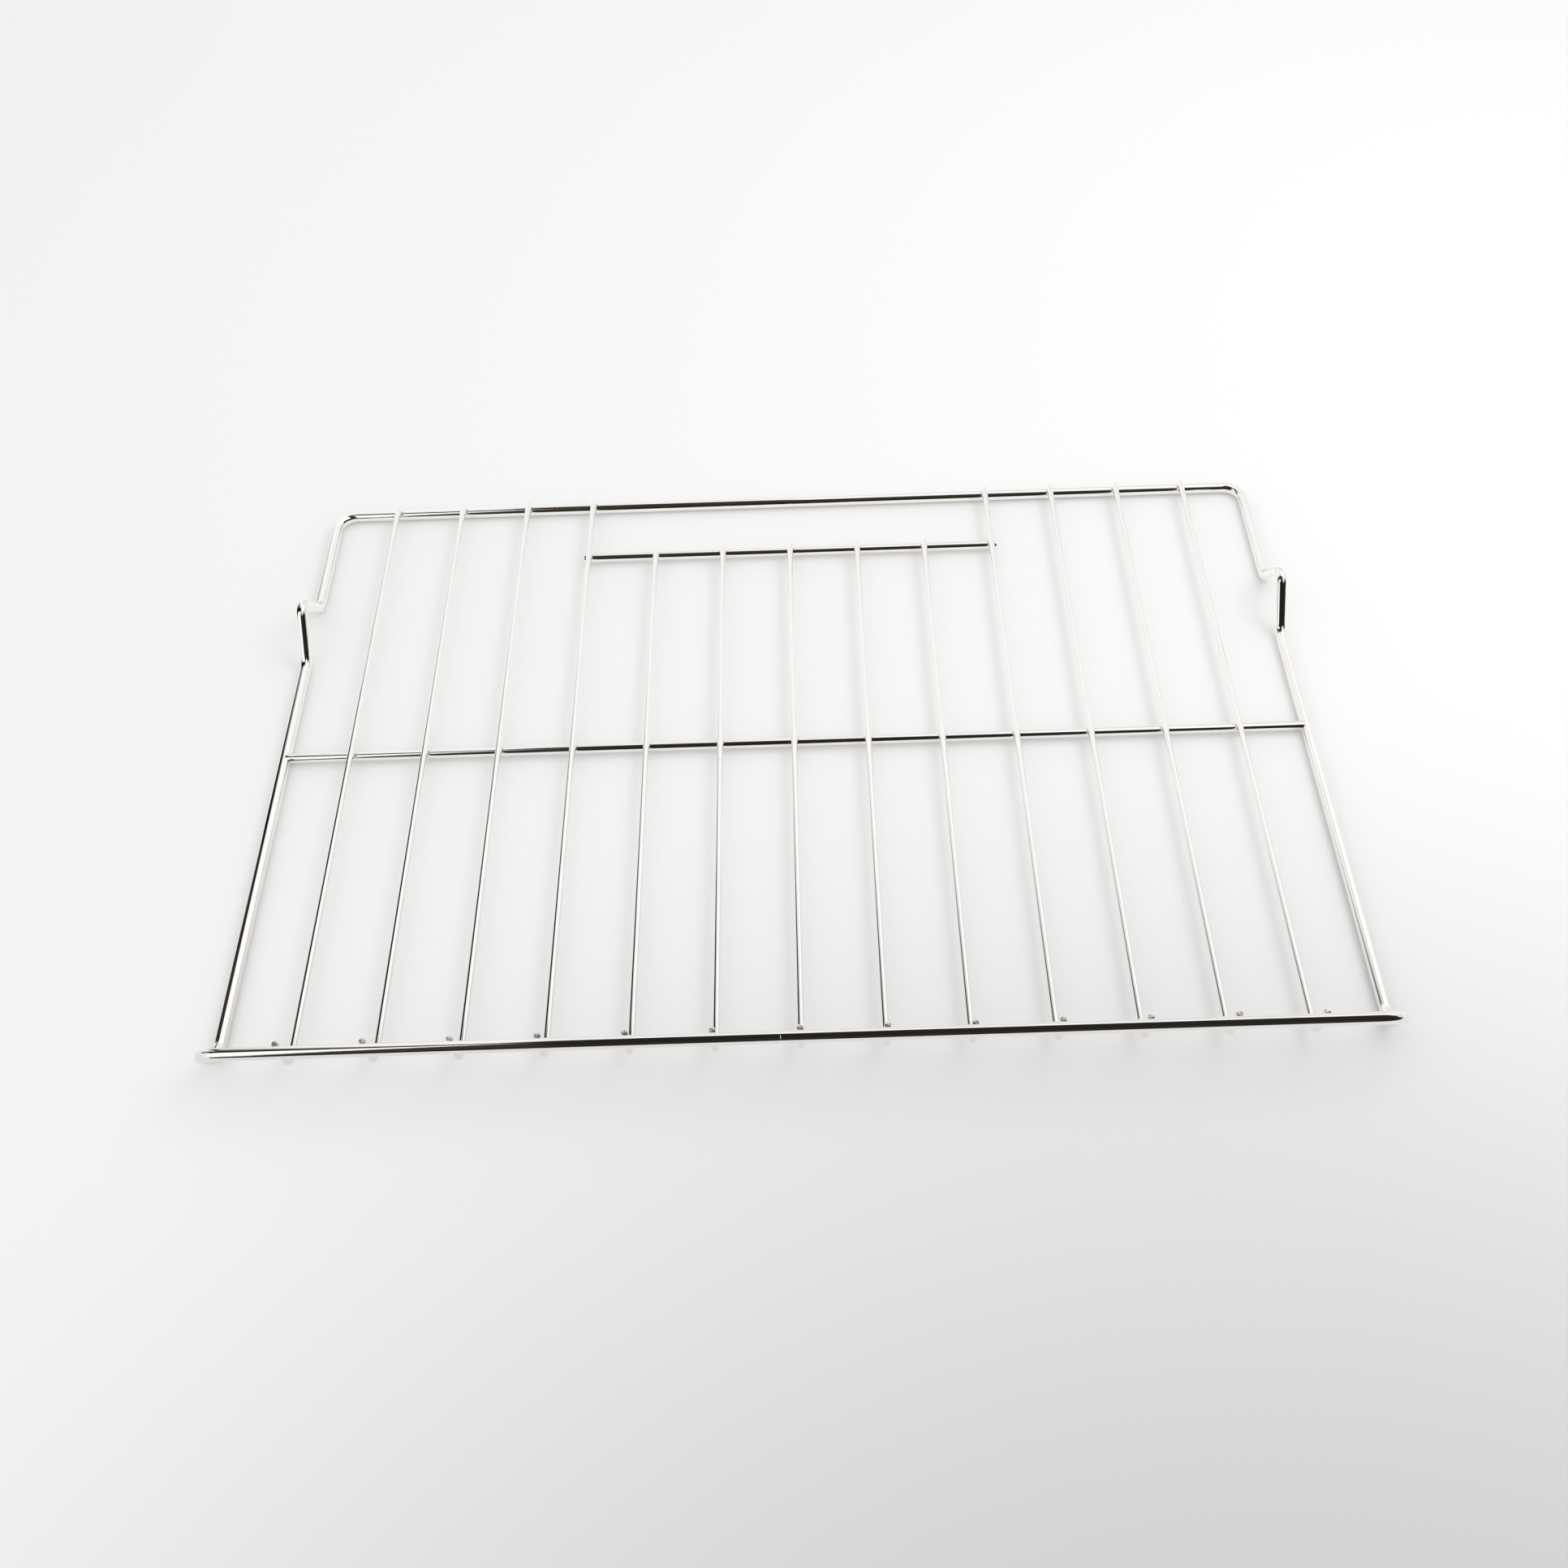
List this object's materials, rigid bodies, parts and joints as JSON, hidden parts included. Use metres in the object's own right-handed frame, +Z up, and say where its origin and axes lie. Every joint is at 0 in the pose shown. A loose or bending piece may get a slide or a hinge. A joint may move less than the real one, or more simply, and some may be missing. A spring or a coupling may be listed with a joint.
{
  "type": "oven shelf rack",
  "caption": "Flat oven shelf rack of welded plated wire: side rails with stop humps, a raised front bar, crossbars and a row of grid wires turned up at the front.",
  "frame": {"origin": "middle of the footprint, on the surface that the rails and the back bar rest on", "axes": "+X along the width to the right seen from the front bar, +Y from the front bar to the back bar, +Z up"},
  "size_m": [0.5884, 0.4004, 0.0343],
  "materials": {
    "plated_wire": "bright plated, mirror-like, on drawn steel wire"
  },
  "bodies": {
    "root": {"frame": "plated_wire", "middle_crossbar": "plated_wire", "inner_crossbar": "plated_wire", "grid_wire_01": "plated_wire", "grid_wire_02": "plated_wire", "grid_wire_03": "plated_wire", "grid_wire_04": "plated_wire", "grid_wire_05": "plated_wire", "grid_wire_06": "plated_wire", "grid_wire_07": "plated_wire", "grid_wire_08": "plated_wire", "grid_wire_09": "plated_wire", "grid_wire_10": "plated_wire", "grid_wire_11": "plated_wire", "grid_wire_12": "plated_wire", "grid_wire_13": "plated_wire"}
  },
  "joints": []
}
